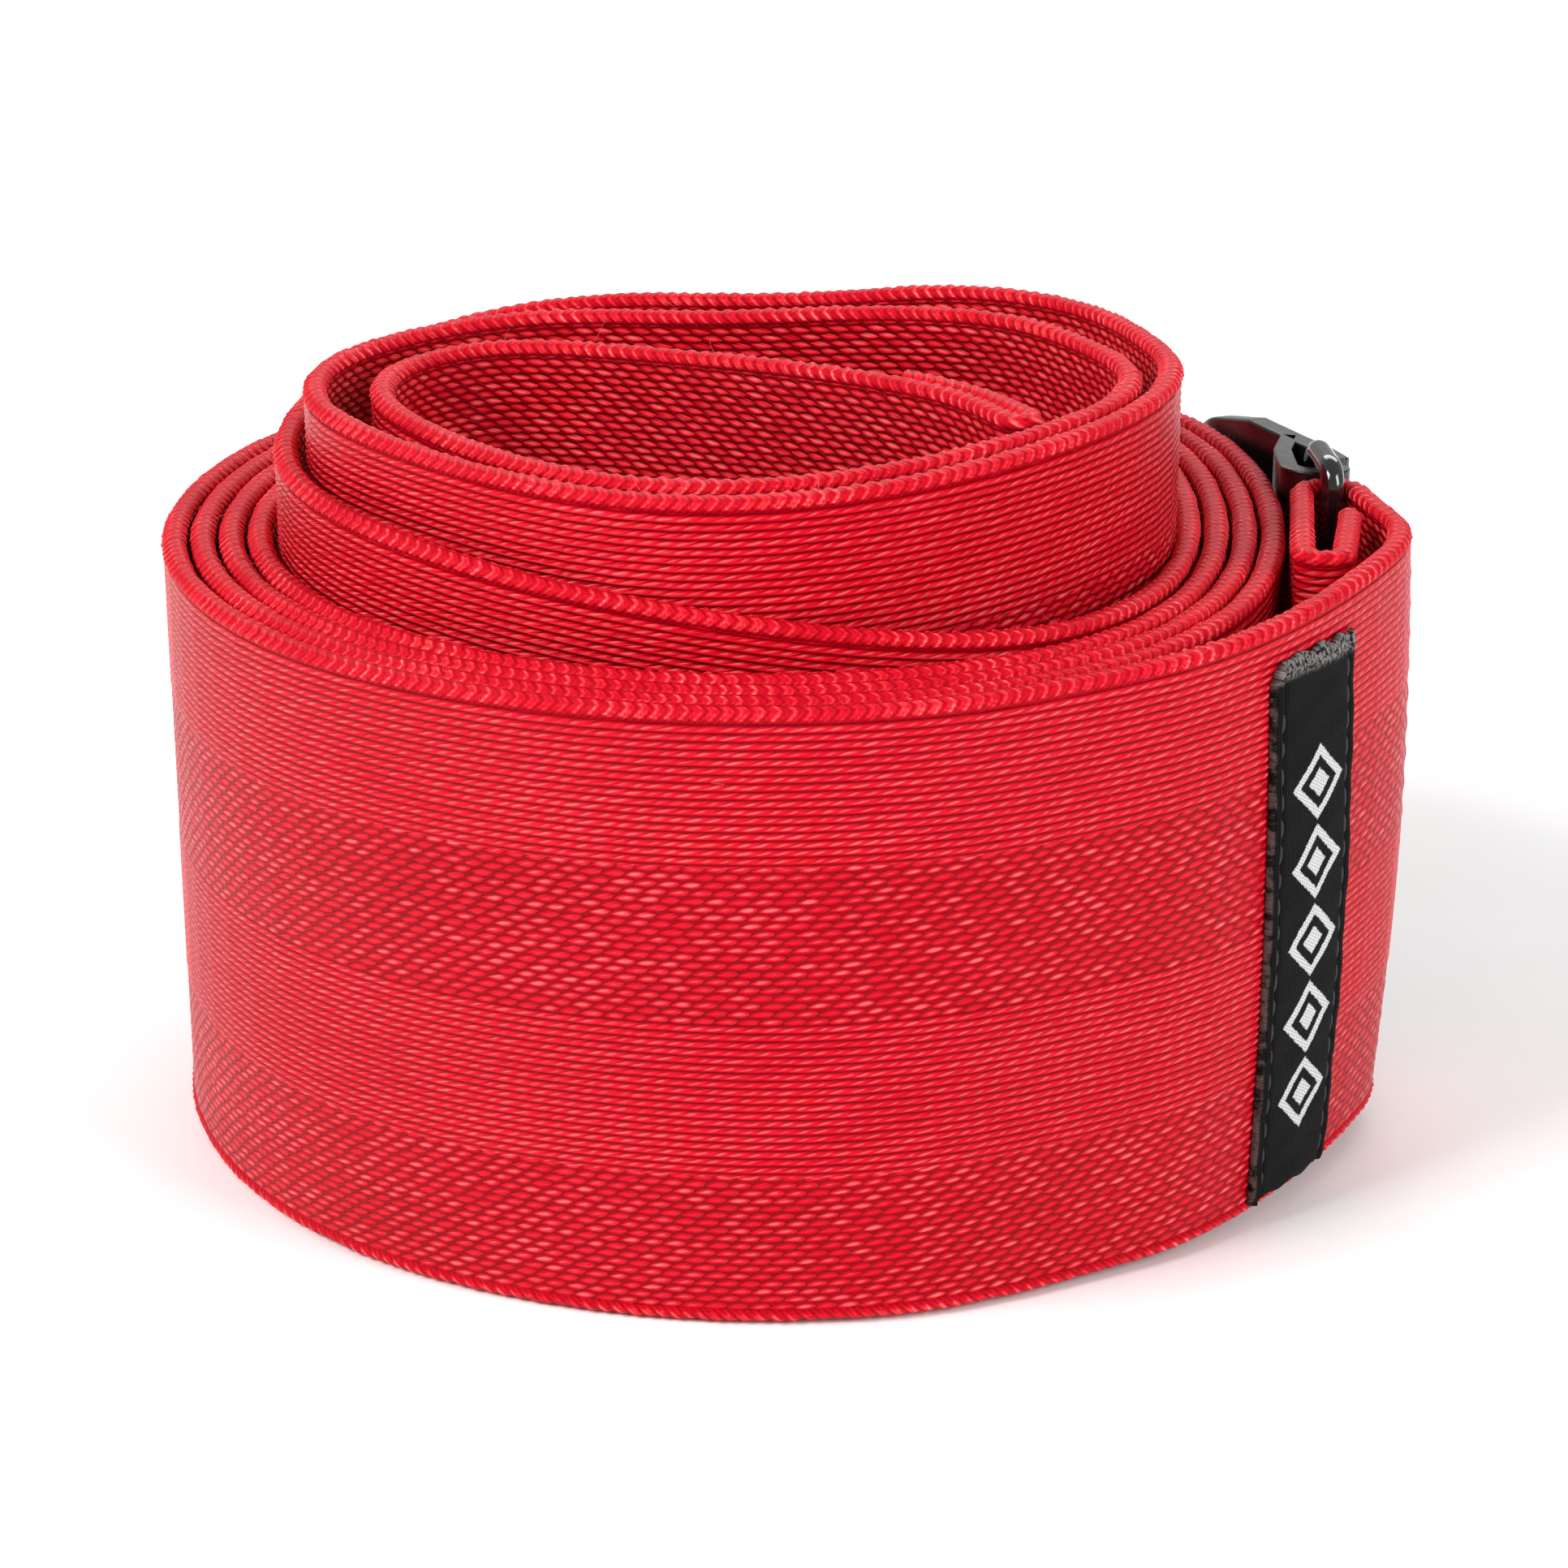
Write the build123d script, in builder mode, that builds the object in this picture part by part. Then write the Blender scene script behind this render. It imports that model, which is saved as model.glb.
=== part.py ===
from build123d import *
import math
import os

# A two inch webbing strap, rolled up on its edge, with a cinch buckle at its sewn end.
# Millimetres, +Z up. The origin is on the surface that the roll stands on, under the middle of its box.

os.makedirs("parts", exist_ok=True)

# ---- webbing ----
WEBBING_WIDTH = 50.8
WEBBING_THICKNESS = 1.9
ROLL_X = -3.0
ROLL_Y = -1.57
TURN_PITCH = 2.35
SPANS = 24

# The raised turns at the core of the roll: outer face, from the free end outwards, as x and y
# from the roll's centre and the height that the lower edge is lifted to.
RAISED_TURNS = [
    (22.1, -17.2, 14.0), (18.3, -10.8, 14.0), (10.5, -4.4, 14.0), (-0.3, 2.2, 13.6),
    (-10.8, 7.2, 13.2), (-21.8, 8.9, 12.9), (-28.6, 3.0, 12.8), (-30.0, -6.0, 12.8),
    (-25.9, -16.0, 12.8), (-17.5, -26.0, 12.7), (-7.3, -31.6, 12.6), (4.2, -32.2, 12.8),
    (15.5, -28.3, 13.4), (24.5, -21.7, 13.9), (31.0, -13.4, 14.2), (32.8, -4.6, 14.2),
    (29.6, 5.4, 14.1), (23.4, 13.8, 14.0), (12.7, 17.6, 13.8), (-2.3, 17.2, 13.5),
    (-17.3, 18.3, 13.2), (-29.5, 12.0, 12.9), (-35.3, 2.0, 12.8), (-34.9, -8.4, 12.7),
    (-27.8, -20.0, 12.5), (-17.7, -29.3, 12.3), (-6.6, -34.6, 12.2), (6.7, -34.9, 12.6),
    (17.9, -30.6, 13.4), (27.5, -22.4, 13.9), (34.2, -12.4, 14.2), (36.4, -3.0, 14.2),
    (35.1, 9.0, 13.6), (30.7, 21.4, 13.0), (19.7, 30.4, 12.4), (3.7, 30.8, 11.6),
    (-12.3, 30.8, 11.5), (-26.8, 25.0, 10.4), (-35.7, 12.6, 9.0), (-38.5, -0.5, 7.9),
    (-36.1, -13.0, 7.3), (-28.3, -24.7, 6.7), (-17.0, -33.1, 5.6), (-3.3, -37.5, 4.1),
    (10.2, -37.2, 2.3), (22.2, -33.0, 0.9), (31.9, -23.4, 0.3), (38.6, 0.0, 0.07),
]
# The low turns: radius of the outermost one every eighth of a turn from +X.
LOW_TURN_RADII = [45.65, 52.3, 51.2, 50.1, 48.2, 47.7, 48.0, 49.6]
FIRST_LOW_EIGHTH = 25
LAST_LOW_EIGHTH = 53
OUTER_TURN = 6
# They are drawn this much too low, and trimmed level where they stand.
TRIM = 0.03
# The last stretch, from the roll to the buckle, rises to let the ring pass under it.
LOOP_LIFT = 2.2
LAST_STRETCH = [
    (0.0, -48.0, 0.05), (16.7, -46.0, 0.2), (26.8, -41.4, 0.4), (34.3, -37.2, 0.7),
    (40.9, -31.4, 1.1), (46.8, -24.2, 1.7), (51.2, -17.0, 2.1), (53.4, -12.0, LOOP_LIFT),
    (53.85, -9.6, LOOP_LIFT),
]

# ---- ring and clamp plate ----
WIRE_DIAMETER = 2.0
WIRE_BEND = 1.6
RING_INNER_HEIGHT = 51.2
WIRE_FAR_BEND = 2.0
RING_AXIS = (49.75, 1.2)
PLATE_AXIS = (49.2, 9.0)
PLATE_THICKNESS = 1.9
PLATE_HEIGHT = 50.2
PLATE_END_HEIGHT = 44.0
PLATE_TAPER = 13.0
PLATE_CORNER = 6.0
PLATE_PATH = [
    (51.6, 10.2), (50.5, 13.2), (49.0, 16.2), (47.3, 19.7), (45.7, 23.2), (44.7, 26.2), (43.4, 29.8),
    (42.3, 33.2), (41.8, 35.2),
]
HOOK_THICKNESS = 1.6
HOOK_PATH = [(48.0, 18.0), (46.95, 13.5), (46.95, 6.95), (51.35, 6.95), (51.35, 8.3)]
HOOK_RADII = [3.0, 1.9, 1.2]

# ---- sewn loop and hem, as centrelines from the roll's centre ----
LOOP_ENTRY = (53.05, -8.0)
LOOP_CORNERS = [LOOP_ENTRY, (51.9, 3.4), (47.45, 3.4), (45.2, -16.6), (48.5, -16.6), (50.6, -4.5)]
LOOP_RADII = [2.1, 2.1, 1.6, 1.6]
HEM_LENGTH = 15.0
HEM_GAP = 0.15

# ---- label ----
LABEL_FROM_LOOP = 21.9
LABEL_WIDTH = 11.0
LABEL_HEIGHT = 46.0
LABEL_THICKNESS = 0.5
LABEL_LIFT = 2.0
LABEL_GAP = 0.05

# ---- stitches ----
STITCH_LENGTH = 2.3
STITCH_PITCH = 3.0
THREAD = 0.5
STITCH_RISE = 0.2
STITCH_DEPTH = 1.0
SEAM_LENGTH = 6.0
SEAM_COUNT = 15


def at_roll(x, y, z=0.0):
    """A point given from the roll's centre, in the strap's frame."""
    return Vector(ROLL_X + x, ROLL_Y + y, z)


def low_turns():
    """Points on the outer face of the turns that stand on the surface, one every eighth of a turn."""
    points = []
    for eighth in range(FIRST_LOW_EIGHTH, LAST_LOW_EIGHTH + 1):
        turn, direction = divmod(eighth, 8)
        radius = LOW_TURN_RADII[direction] - TURN_PITCH * (OUTER_TURN - turn)
        angle = math.radians(45 * direction)
        points.append(at_roll(radius * math.cos(angle), radius * math.sin(angle), -TRIM))
    return points


def inward(points, index):
    """The level unit vector from the outer face to the inner face at one of the points."""
    before = points[max(index - 1, 0)]
    after = points[min(index + 1, len(points) - 1)]
    along = after - before
    return Vector(-along.Y, along.X, 0).normalized()


# The outer face's lower edge, from the hem to the sewn loop.
loop_direction = (Vector(*LOOP_CORNERS[1]) - Vector(*LOOP_ENTRY)).normalized()
loop_inward = Vector(-loop_direction.Y, loop_direction.X, 0)
outer_points = [at_roll(*point) for point in RAISED_TURNS] + low_turns()
outer_points += [at_roll(*point) for point in LAST_STRETCH]
outer_points.append(at_roll(*LOOP_ENTRY, LOOP_LIFT) - loop_inward * (WEBBING_THICKNESS / 2))
with BuildLine() as outer_edge:
    Spline(*outer_points)
outer_face_line = outer_edge.edge()

free_end = outer_face_line % 0
inner_points = [outer_points[0] + Vector(-free_end.Y, free_end.X, 0).normalized() * WEBBING_THICKNESS]
inner_points += [
    outer_points[index] + inward(outer_points, index) * WEBBING_THICKNESS
    for index in range(1, len(outer_points) - 1)
]
inner_points.append(outer_points[-1] + loop_inward * WEBBING_THICKNESS)
with BuildLine() as inner_edge:
    Spline(*inner_points)
inner_face_line = inner_edge.edge()

lower_faces = [
    Face.make_surface_from_curves(
        outer_face_line.trim(step / SPANS, (step + 1) / SPANS),
        inner_face_line.trim(step / SPANS, (step + 1) / SPANS),
    )
    for step in range(SPANS)
]


def beside_roll(distance, offset, height):
    """A point beside the outer face, at a distance along the webbing from its free end."""
    place = outer_face_line.position_at(distance, position_mode=PositionMode.LENGTH)
    along = outer_face_line.tangent_at(distance, position_mode=PositionMode.LENGTH)
    across = Vector(along.Y, -along.X, 0).normalized() * offset
    return Vector(place.X + across.X, place.Y + across.Y, height)


def strip(start, length, near, far, height):
    """The plan of a strip that follows the webbing, between two offsets from its outer face."""
    places = [start + length * step / 6 for step in range(7)]
    near_line = Edge.make_spline([beside_roll(place, near, height) for place in places])
    far_line = Edge.make_spline([beside_roll(place, far, height) for place in places])
    return Face.make_surface_from_curves(near_line, far_line)


# The free end is folded back onto the outer face, away from the roll's core.
hem_height = outer_points[0].Z
hem_pitch = WEBBING_THICKNESS + HEM_GAP
hem_start = beside_roll(0, -WEBBING_THICKNESS / 2, hem_height)
hem_end = beside_roll(0, hem_pitch - WEBBING_THICKNESS / 2, hem_height)
hem_turn = (hem_start + hem_end) / 2 + (outer_points[0] - outer_points[1]).normalized() * hem_pitch / 2
hem_return = strip(0, HEM_LENGTH, HEM_GAP, hem_pitch, hem_height)

# One continuous length of webbing: hem, roll, last stretch and the sewn loop round the ring.
with BuildPart() as webbing:
    extrude(to_extrude=lower_faces, amount=WEBBING_WIDTH, dir=(0, 0, 1))
    with BuildSketch(Plane.XY.offset(LOOP_LIFT)):
        for side in (Side.LEFT, Side.RIGHT):
            with BuildLine():
                FilletPolyline([at_roll(*corner) for corner in LOOP_CORNERS], radius=LOOP_RADII)
                offset(amount=WEBBING_THICKNESS / 2, side=side)
            make_face()
    extrude(amount=WEBBING_WIDTH)
    with BuildSketch(Plane.XY.offset(hem_height)):
        for side in (Side.LEFT, Side.RIGHT):
            with BuildLine():
                ThreePointArc(
                    (hem_start.X, hem_start.Y), (hem_turn.X, hem_turn.Y), (hem_end.X, hem_end.Y)
                )
                offset(amount=WEBBING_THICKNESS / 2, side=side)
            make_face()
    extrude(amount=WEBBING_WIDTH)
    extrude(to_extrude=hem_return, amount=WEBBING_WIDTH, dir=(0, 0, 1))
    split(bisect_by=Plane.XY, keep=Keep.TOP)
webbing.part.label = "webbing"
export_step(webbing.part, "parts/webbing.step")

# ---- woven label on the outside of the last stretch ----
label_place = outer_face_line.length - LABEL_FROM_LOOP
label_plan = strip(
    label_place - LABEL_WIDTH / 2, LABEL_WIDTH, LABEL_GAP, LABEL_GAP + LABEL_THICKNESS, LABEL_LIFT
)
with BuildPart() as woven_label:
    extrude(to_extrude=label_plan, amount=LABEL_HEIGHT, dir=(0, 0, 1))
woven_label.part.label = "woven_label"
export_step(woven_label.part, "parts/woven_label.step")


def stitch_plane(distance, offset, height):
    """A plane on the outer face: its X axis runs up the webbing and its Z axis points outwards."""
    on_face = beside_roll(distance, 0, height)
    above_face = beside_roll(distance, 1, height)
    return Plane(origin=beside_roll(distance, offset, height), x_dir=(0, 0, 1), z_dir=above_face - on_face)


# Two upright rows of stitches hold the label at its left and right edges.
label_rows = [
    stitch_plane(label_place + away, LABEL_GAP + LABEL_THICKNESS + STITCH_RISE, LABEL_LIFT + LABEL_HEIGHT / 2)
    for away in (-LABEL_WIDTH / 2 + 1.0, LABEL_WIDTH / 2 - 1.0)
]
label_stitch_count = int((LABEL_HEIGHT - 2.0) / STITCH_PITCH) + 1
with BuildPart() as label_stitching:
    for row in label_rows:
        with BuildSketch(row):
            with GridLocations(STITCH_PITCH, 0, label_stitch_count, 1):
                SlotOverall(STITCH_LENGTH, THREAD)
        extrude(amount=-STITCH_DEPTH)
label_stitching.part.label = "label_stitching"
export_step(label_stitching.part, "parts/label_stitching.step")

# A box of stitches closes the loop, through the outer layer and the turned-in tail.
loop_seam = Plane(
    origin=at_roll(*LOOP_ENTRY, LOOP_LIFT + WEBBING_WIDTH / 2)
    - loop_inward * (WEBBING_THICKNESS / 2 + STITCH_RISE)
    + loop_direction * SEAM_LENGTH / 3,
    x_dir=(0, 0, 1),
    z_dir=-loop_inward,
)
with BuildPart() as loop_stitching:
    with BuildSketch(loop_seam):
        with GridLocations(STITCH_PITCH, SEAM_LENGTH, SEAM_COUNT, 2):
            SlotOverall(STITCH_LENGTH, THREAD)
        with GridLocations(STITCH_PITCH * SEAM_COUNT, SEAM_LENGTH / 2, 2, 2):
            SlotOverall(STITCH_LENGTH, THREAD, rotation=90)
    extrude(amount=-STITCH_DEPTH)
loop_stitching.part.label = "loop_stitching"
export_step(loop_stitching.part, "parts/loop_stitching.step")

# One upright row of stitches, through both layers near the end of the hem.
hem_row = stitch_plane(HEM_LENGTH - 3.0, hem_pitch + STITCH_RISE, hem_height + WEBBING_WIDTH / 2)
with BuildPart() as hem_stitching:
    with BuildSketch(hem_row):
        with GridLocations(STITCH_PITCH, 0, SEAM_COUNT, 1):
            SlotOverall(STITCH_LENGTH, THREAD)
    extrude(amount=-STITCH_DEPTH)
hem_stitching.part.label = "hem_stitching"
export_step(hem_stitching.part, "parts/hem_stitching.step")

# ---- ring: one wire bent to an upright rectangle, its near side inside the webbing loop ----
ring_near = at_roll(*RING_AXIS)
ring_far = at_roll(*PLATE_AXIS)
ring_reach = (ring_far - ring_near).length
ring_height = RING_INNER_HEIGHT + 2 * WIRE_DIAMETER
ring_plane = Plane(
    origin=(ring_near + ring_far) / 2 + Vector(0, 0, ring_height / 2),
    x_dir=ring_far - ring_near,
    z_dir=(ring_far - ring_near).cross(Vector(0, 0, 1)),
)
with BuildSketch(ring_plane) as ring_outline:
    Rectangle(ring_reach, RING_INNER_HEIGHT + WIRE_DIAMETER)
    fillet(ring_outline.vertices().group_by(Axis.X)[0], radius=WIRE_BEND)
    fillet(ring_outline.vertices().group_by(Axis.X)[-1], radius=WIRE_FAR_BEND)
ring_path = ring_outline.sketch.face().outer_wire()

with BuildPart() as wire_ring:
    with BuildSketch(Plane(origin=ring_path @ 0, z_dir=ring_path % 0)):
        Circle(WIRE_DIAMETER / 2)
    sweep(path=ring_path)
wire_ring.part.label = "wire_ring"
export_step(wire_ring.part, "parts/wire_ring.step")

# ---- clamp plate: a curved lever whose hook snaps round the ring's far side ----
plate_middle = [at_roll(*place) for place in PLATE_PATH]
plate_half = PLATE_THICKNESS / 2
plate_front = [place - inward(plate_middle, index) * plate_half for index, place in enumerate(plate_middle)]
plate_back = [place + inward(plate_middle, index) * plate_half for index, place in enumerate(plate_middle)]
with BuildPart() as clamp_plate:
    with BuildSketch(Plane.XY.offset((ring_height - PLATE_HEIGHT) / 2)):
        with BuildLine():
            Spline(*plate_front)
            Line(plate_front[-1], plate_back[-1])
            Spline(*plate_back)
            Line(plate_front[0], plate_back[0])
        make_face()
        for side in (Side.LEFT, Side.RIGHT):
            with BuildLine():
                FilletPolyline([at_roll(*corner) for corner in HOOK_PATH], radius=HOOK_RADII)
                offset(amount=HOOK_THICKNESS / 2, side=side)
            make_face()
    extrude(amount=PLATE_HEIGHT)
    far_end = clamp_plate.vertices().sort_by(Axis.Y)[-1].Y
    near_end = ring_far.Y - 10
    low, high = (ring_height - PLATE_HEIGHT) / 2, (ring_height + PLATE_HEIGHT) / 2
    end_low, end_high = (ring_height - PLATE_END_HEIGHT) / 2, (ring_height + PLATE_END_HEIGHT) / 2
    with BuildSketch(Plane.YZ) as plate_side:
        with BuildLine():
            Polyline(
                (near_end, low), (far_end - PLATE_TAPER, low), (far_end, end_low), (far_end, end_high),
                (far_end - PLATE_TAPER, high), (near_end, high), close=True,
            )
        make_face()
        fillet(plate_side.vertices().group_by(Axis.X)[-1], radius=PLATE_CORNER)
    extrude(amount=4 * PLATE_HEIGHT, both=True, mode=Mode.INTERSECT)
clamp_plate.part.label = "clamp_plate"
export_step(clamp_plate.part, "parts/clamp_plate.step")
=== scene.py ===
import math
import random

import bpy
import numpy as np
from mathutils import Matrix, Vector


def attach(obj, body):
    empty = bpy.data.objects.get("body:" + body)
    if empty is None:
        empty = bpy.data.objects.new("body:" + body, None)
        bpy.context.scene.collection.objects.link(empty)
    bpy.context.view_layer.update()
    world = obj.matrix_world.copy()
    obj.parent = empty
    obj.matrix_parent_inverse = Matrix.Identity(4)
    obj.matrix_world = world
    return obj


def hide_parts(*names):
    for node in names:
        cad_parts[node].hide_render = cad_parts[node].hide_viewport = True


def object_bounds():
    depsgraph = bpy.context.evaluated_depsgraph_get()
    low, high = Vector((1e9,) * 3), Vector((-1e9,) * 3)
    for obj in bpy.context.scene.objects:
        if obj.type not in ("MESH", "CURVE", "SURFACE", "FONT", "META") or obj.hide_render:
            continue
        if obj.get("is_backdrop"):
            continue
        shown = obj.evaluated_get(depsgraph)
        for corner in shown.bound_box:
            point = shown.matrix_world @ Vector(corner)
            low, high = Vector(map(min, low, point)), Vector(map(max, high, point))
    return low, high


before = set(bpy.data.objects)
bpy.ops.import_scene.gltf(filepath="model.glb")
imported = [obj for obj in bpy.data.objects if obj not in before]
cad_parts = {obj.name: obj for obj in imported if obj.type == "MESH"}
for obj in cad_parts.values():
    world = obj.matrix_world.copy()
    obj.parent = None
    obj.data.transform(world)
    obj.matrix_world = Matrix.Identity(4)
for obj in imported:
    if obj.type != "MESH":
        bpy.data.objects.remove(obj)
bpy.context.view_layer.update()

# A cinch strap of red webbing, rolled up on its edge, with a black wire ring and a clamp plate.
# Lengths are in millimetres. +Z is up, and the roll stands on z = 0.

random.seed(7)
rng = np.random.default_rng(7)
MM = 0.001

# ---------------------------------------------------------------- the webbing
WIDTH = 50.8
HALF = 0.95
PITCH = 0.65  # from one row of the weave to the next
BAND = 12.7  # rib and float bands, a quarter of the width each
FLOAT_STEP = 1.7  # length of one float
OUTER_FACE = 0.80  # the weave's valleys on the outer face, off the webbing's middle
RIB_RELIEF = 0.14
FLOAT_RELIEF = 0.09
INNER_FACE = -0.84
EDGE_RISE = 0.62
EDGE_OUT = 0.72
SELVEDGE_INSET = 0.96
SELVEDGE_RADIUS = 0.87
CHEVRON_PITCH = 1.16
CHEVRON_RISE = 0.17
WRAP_PITCH = 0.56

# ---------------------------------------------------------------- its route
# The roll's centre stands at ROLL in plan. Each place on the route is x and y of the outer face from
# that centre, and the height of the lower edge.
STEP = 0.25
ROLL = np.array([-3.0, -1.57])
# The raised turns, from the free end in the core outwards.
RAISED = [
    (22.1, -17.2, 14.0), (18.3, -10.8, 14.0), (10.5, -4.4, 14.0), (-0.3, 2.2, 13.6),
    (-10.8, 7.2, 13.2), (-21.8, 8.9, 12.9), (-28.6, 3.0, 12.8), (-30.0, -6.0, 12.8),
    (-25.9, -16.0, 12.8), (-17.5, -26.0, 12.7), (-7.3, -31.6, 12.6), (4.2, -32.2, 12.8),
    (15.5, -28.3, 13.4), (24.5, -21.7, 13.9), (31.0, -13.4, 14.2), (32.8, -4.6, 14.2),
    (29.6, 5.4, 14.1), (23.4, 13.8, 14.0), (12.7, 17.6, 13.8), (-2.3, 17.2, 13.5),
    (-17.3, 18.3, 13.2), (-29.5, 12.0, 12.9), (-35.3, 2.0, 12.8), (-34.9, -8.4, 12.7),
    (-27.8, -20.0, 12.5), (-17.7, -29.3, 12.3), (-6.6, -34.6, 12.2), (6.7, -34.9, 12.6),
    (17.9, -30.6, 13.4), (27.5, -22.4, 13.9), (34.2, -12.4, 14.2), (36.4, -3.0, 14.2),
    (35.1, 9.0, 13.6), (30.7, 21.4, 13.0), (19.7, 30.4, 12.4), (3.7, 30.8, 11.6),
    (-12.3, 30.8, 11.5), (-26.8, 25.0, 10.4), (-35.7, 12.6, 9.0), (-38.5, -0.5, 7.9),
    (-36.1, -13.0, 7.3), (-28.3, -24.7, 6.7), (-17.0, -33.1, 5.6), (-3.3, -37.5, 4.1),
    (10.2, -37.2, 2.3), (22.2, -33.0, 0.9), (31.9, -23.4, 0.3), (38.6, 0.0, 0.08),
]
# The low turns: the outermost one's radius every eighth of a turn from +X, and the pitch between turns.
LOW_RADII = [45.65, 52.3, 51.2, 50.1, 48.2, 47.7, 48.0, 49.6]
TURN_PITCH = 2.35
OUTERMOST_TURN = 6
LOW_LIFT = 0.03
# The last stretch, from the front to the buckle.
LAST = [
    (0.0, -48.0, 0.05), (16.7, -46.0, 0.2), (26.8, -41.4, 0.4), (34.3, -37.2, 0.7),
    (40.9, -31.4, 1.1), (46.8, -24.2, 1.7), (51.2, -17.0, 2.1), (53.4, -12.0, 2.2),
    (53.85, -9.6, 2.2), (54.0, -7.9, 2.2),
]
# The loop that holds the ring, as corners of the webbing's middle in plan.
LOOP = [(53.05, -8.0), (51.9, 3.4), (47.45, 3.4), (45.2, -16.6), (48.5, -16.6), (50.6, -4.5)]
LOOP_RADII = [2.1, 2.1, 1.6, 1.6]
LOOP_LIFT = 2.2
HEM = 15.0
HEM_PITCH = 2.05
HEM_LIFT = 14.0

SEAM_PITCH = 2.6
SEAM_INSET = 3.0
LABEL_THREAD = 0.17  # radii of the threads
LOOP_THREAD = 0.15
HEM_THREAD = 0.22

LABEL_LOW = 2.0
LABEL_UP = 46.9
LABEL_HALF = 5.5
LABEL_FRONT = 1.32  # the cloth's two faces, off the webbing's middle
LABEL_BACK = 0.93
LABEL_BEFORE_LOOP = 21.9
LEFT_ROW = -4.15  # the two rows of stitches, across the label from its middle
RIGHT_ROW = 4.6
LABEL_WARP = 0.24
LABEL_WEFT = 0.3
LOZENGE_HEIGHT = 6.8
LOZENGE_HALF = 3.5


def low_turns():
    points = []
    for eighth in range(25, 54):
        turn, way = divmod(eighth, 8)
        radius = LOW_RADII[way] - TURN_PITCH * (OUTERMOST_TURN - turn)
        angle = math.radians(45 * way)
        points.append((radius * math.cos(angle), radius * math.sin(angle), LOW_LIFT))
    return points


def lengths(points):
    """How far along a polyline each of its points is."""
    return np.concatenate([[0], np.cumsum(np.linalg.norm(np.diff(points, axis=0), axis=1))])


def through(points, step):
    """A natural cubic through the points, sampled every step millimetres."""
    p = np.array(points, float)
    t = lengths(p)
    n = len(p)
    h = np.diff(t)
    a = np.zeros((n, n))
    b = np.zeros((n, p.shape[1]))
    a[0, 0] = a[-1, -1] = 1
    for i in range(1, n - 1):
        a[i, i - 1], a[i, i], a[i, i + 1] = h[i - 1], 2 * (h[i - 1] + h[i]), h[i]
        b[i] = 6 * ((p[i + 1] - p[i]) / h[i] - (p[i] - p[i - 1]) / h[i - 1])
    m = np.linalg.solve(a, b)
    u = np.linspace(0, t[-1], int(t[-1] / step) + 1)
    k = np.clip(np.searchsorted(t, u, side="right") - 1, 0, n - 2)
    d = (u - t[k])[:, None]
    hk = h[k][:, None]
    c = (p[k + 1] - p[k]) / hk - hk * (2 * m[k] + m[k + 1]) / 6
    return p[k] + d * (c + d * (m[k] / 2 + d * (m[k + 1] - m[k]) / (6 * hk)))


def rounded(corners, radii, step):
    """A polyline with rounded corners, sampled every step millimetres."""
    corners = [np.array(c, float) for c in corners]
    out = [corners[0]]
    for before, corner, after, radius in zip(corners, corners[1:], corners[2:], radii):
        u = (before - corner) / np.linalg.norm(before - corner)
        v = (after - corner) / np.linalg.norm(after - corner)
        half = math.acos(float(np.clip(u @ v, -1, 1))) / 2
        centre = corner + (u + v) / np.linalg.norm(u + v) * radius / math.sin(half)
        start, end = corner + u * radius / math.tan(half), corner + v * radius / math.tan(half)
        a0 = math.atan2(*(start - centre)[::-1])
        turn = (math.atan2(*(end - centre)[::-1]) - a0 + math.pi) % (2 * math.pi) - math.pi
        count = max(4, int(abs(turn) * radius / step))
        for i in range(count + 1):
            a = a0 + turn * i / count
            out.append(centre + radius * np.array([math.cos(a), math.sin(a)]))
    out.append(corners[-1])
    dense = []
    for a, b in zip(out, out[1:]):
        count = max(1, int(np.linalg.norm(b - a) / step))
        dense += [a + (b - a) * i / count for i in range(count)]
    return np.array(dense + [out[-1]])


def plan_normals(xy):
    """Unit normals in plan, to the right of travel."""
    along = np.gradient(xy, axis=0)
    along /= np.linalg.norm(along, axis=1)[:, None] + 1e-12
    return np.stack([along[:, 1], -along[:, 0]], axis=1)


def smooth(values, width):
    """A running average under a bell of width samples."""
    kernel = np.hanning(width + 2)[1:-1]
    kernel /= kernel.sum()
    padded = np.pad(values, [(width // 2, width // 2)] + [(0, 0)] * (values.ndim - 1), mode="edge")
    if values.ndim == 1:
        return np.convolve(padded, kernel, mode="valid")[: len(values)]
    return np.stack([np.convolve(padded[:, i], kernel, mode="valid")[: len(values)]
                     for i in range(values.shape[1])], axis=1)


roll = through(RAISED + low_turns() + LAST, STEP)
roll_middle = roll[:, :2] - plan_normals(roll[:, :2]) * HALF
loop = rounded(LOOP, LOOP_RADII, 0.1)
# The hem: the free end is folded back over the outer face.
hem_count = int(HEM / STEP)
hem_leg = roll_middle[:hem_count] + plan_normals(roll[:, :2])[:hem_count] * HEM_PITCH
hem_leg = hem_leg[::-1]
first_normal = plan_normals(roll[:, :2])[0]
first_along = np.array([-first_normal[1], first_normal[0]])
hem_centre = roll_middle[0] + first_normal * HEM_PITCH / 2
hem_turn = np.array([
    hem_centre + first_normal * math.cos(a) * HEM_PITCH / 2 - first_along * math.sin(a) * HEM_PITCH / 2
    for a in np.linspace(0, math.pi, 14)[1:-1]
])
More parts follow.
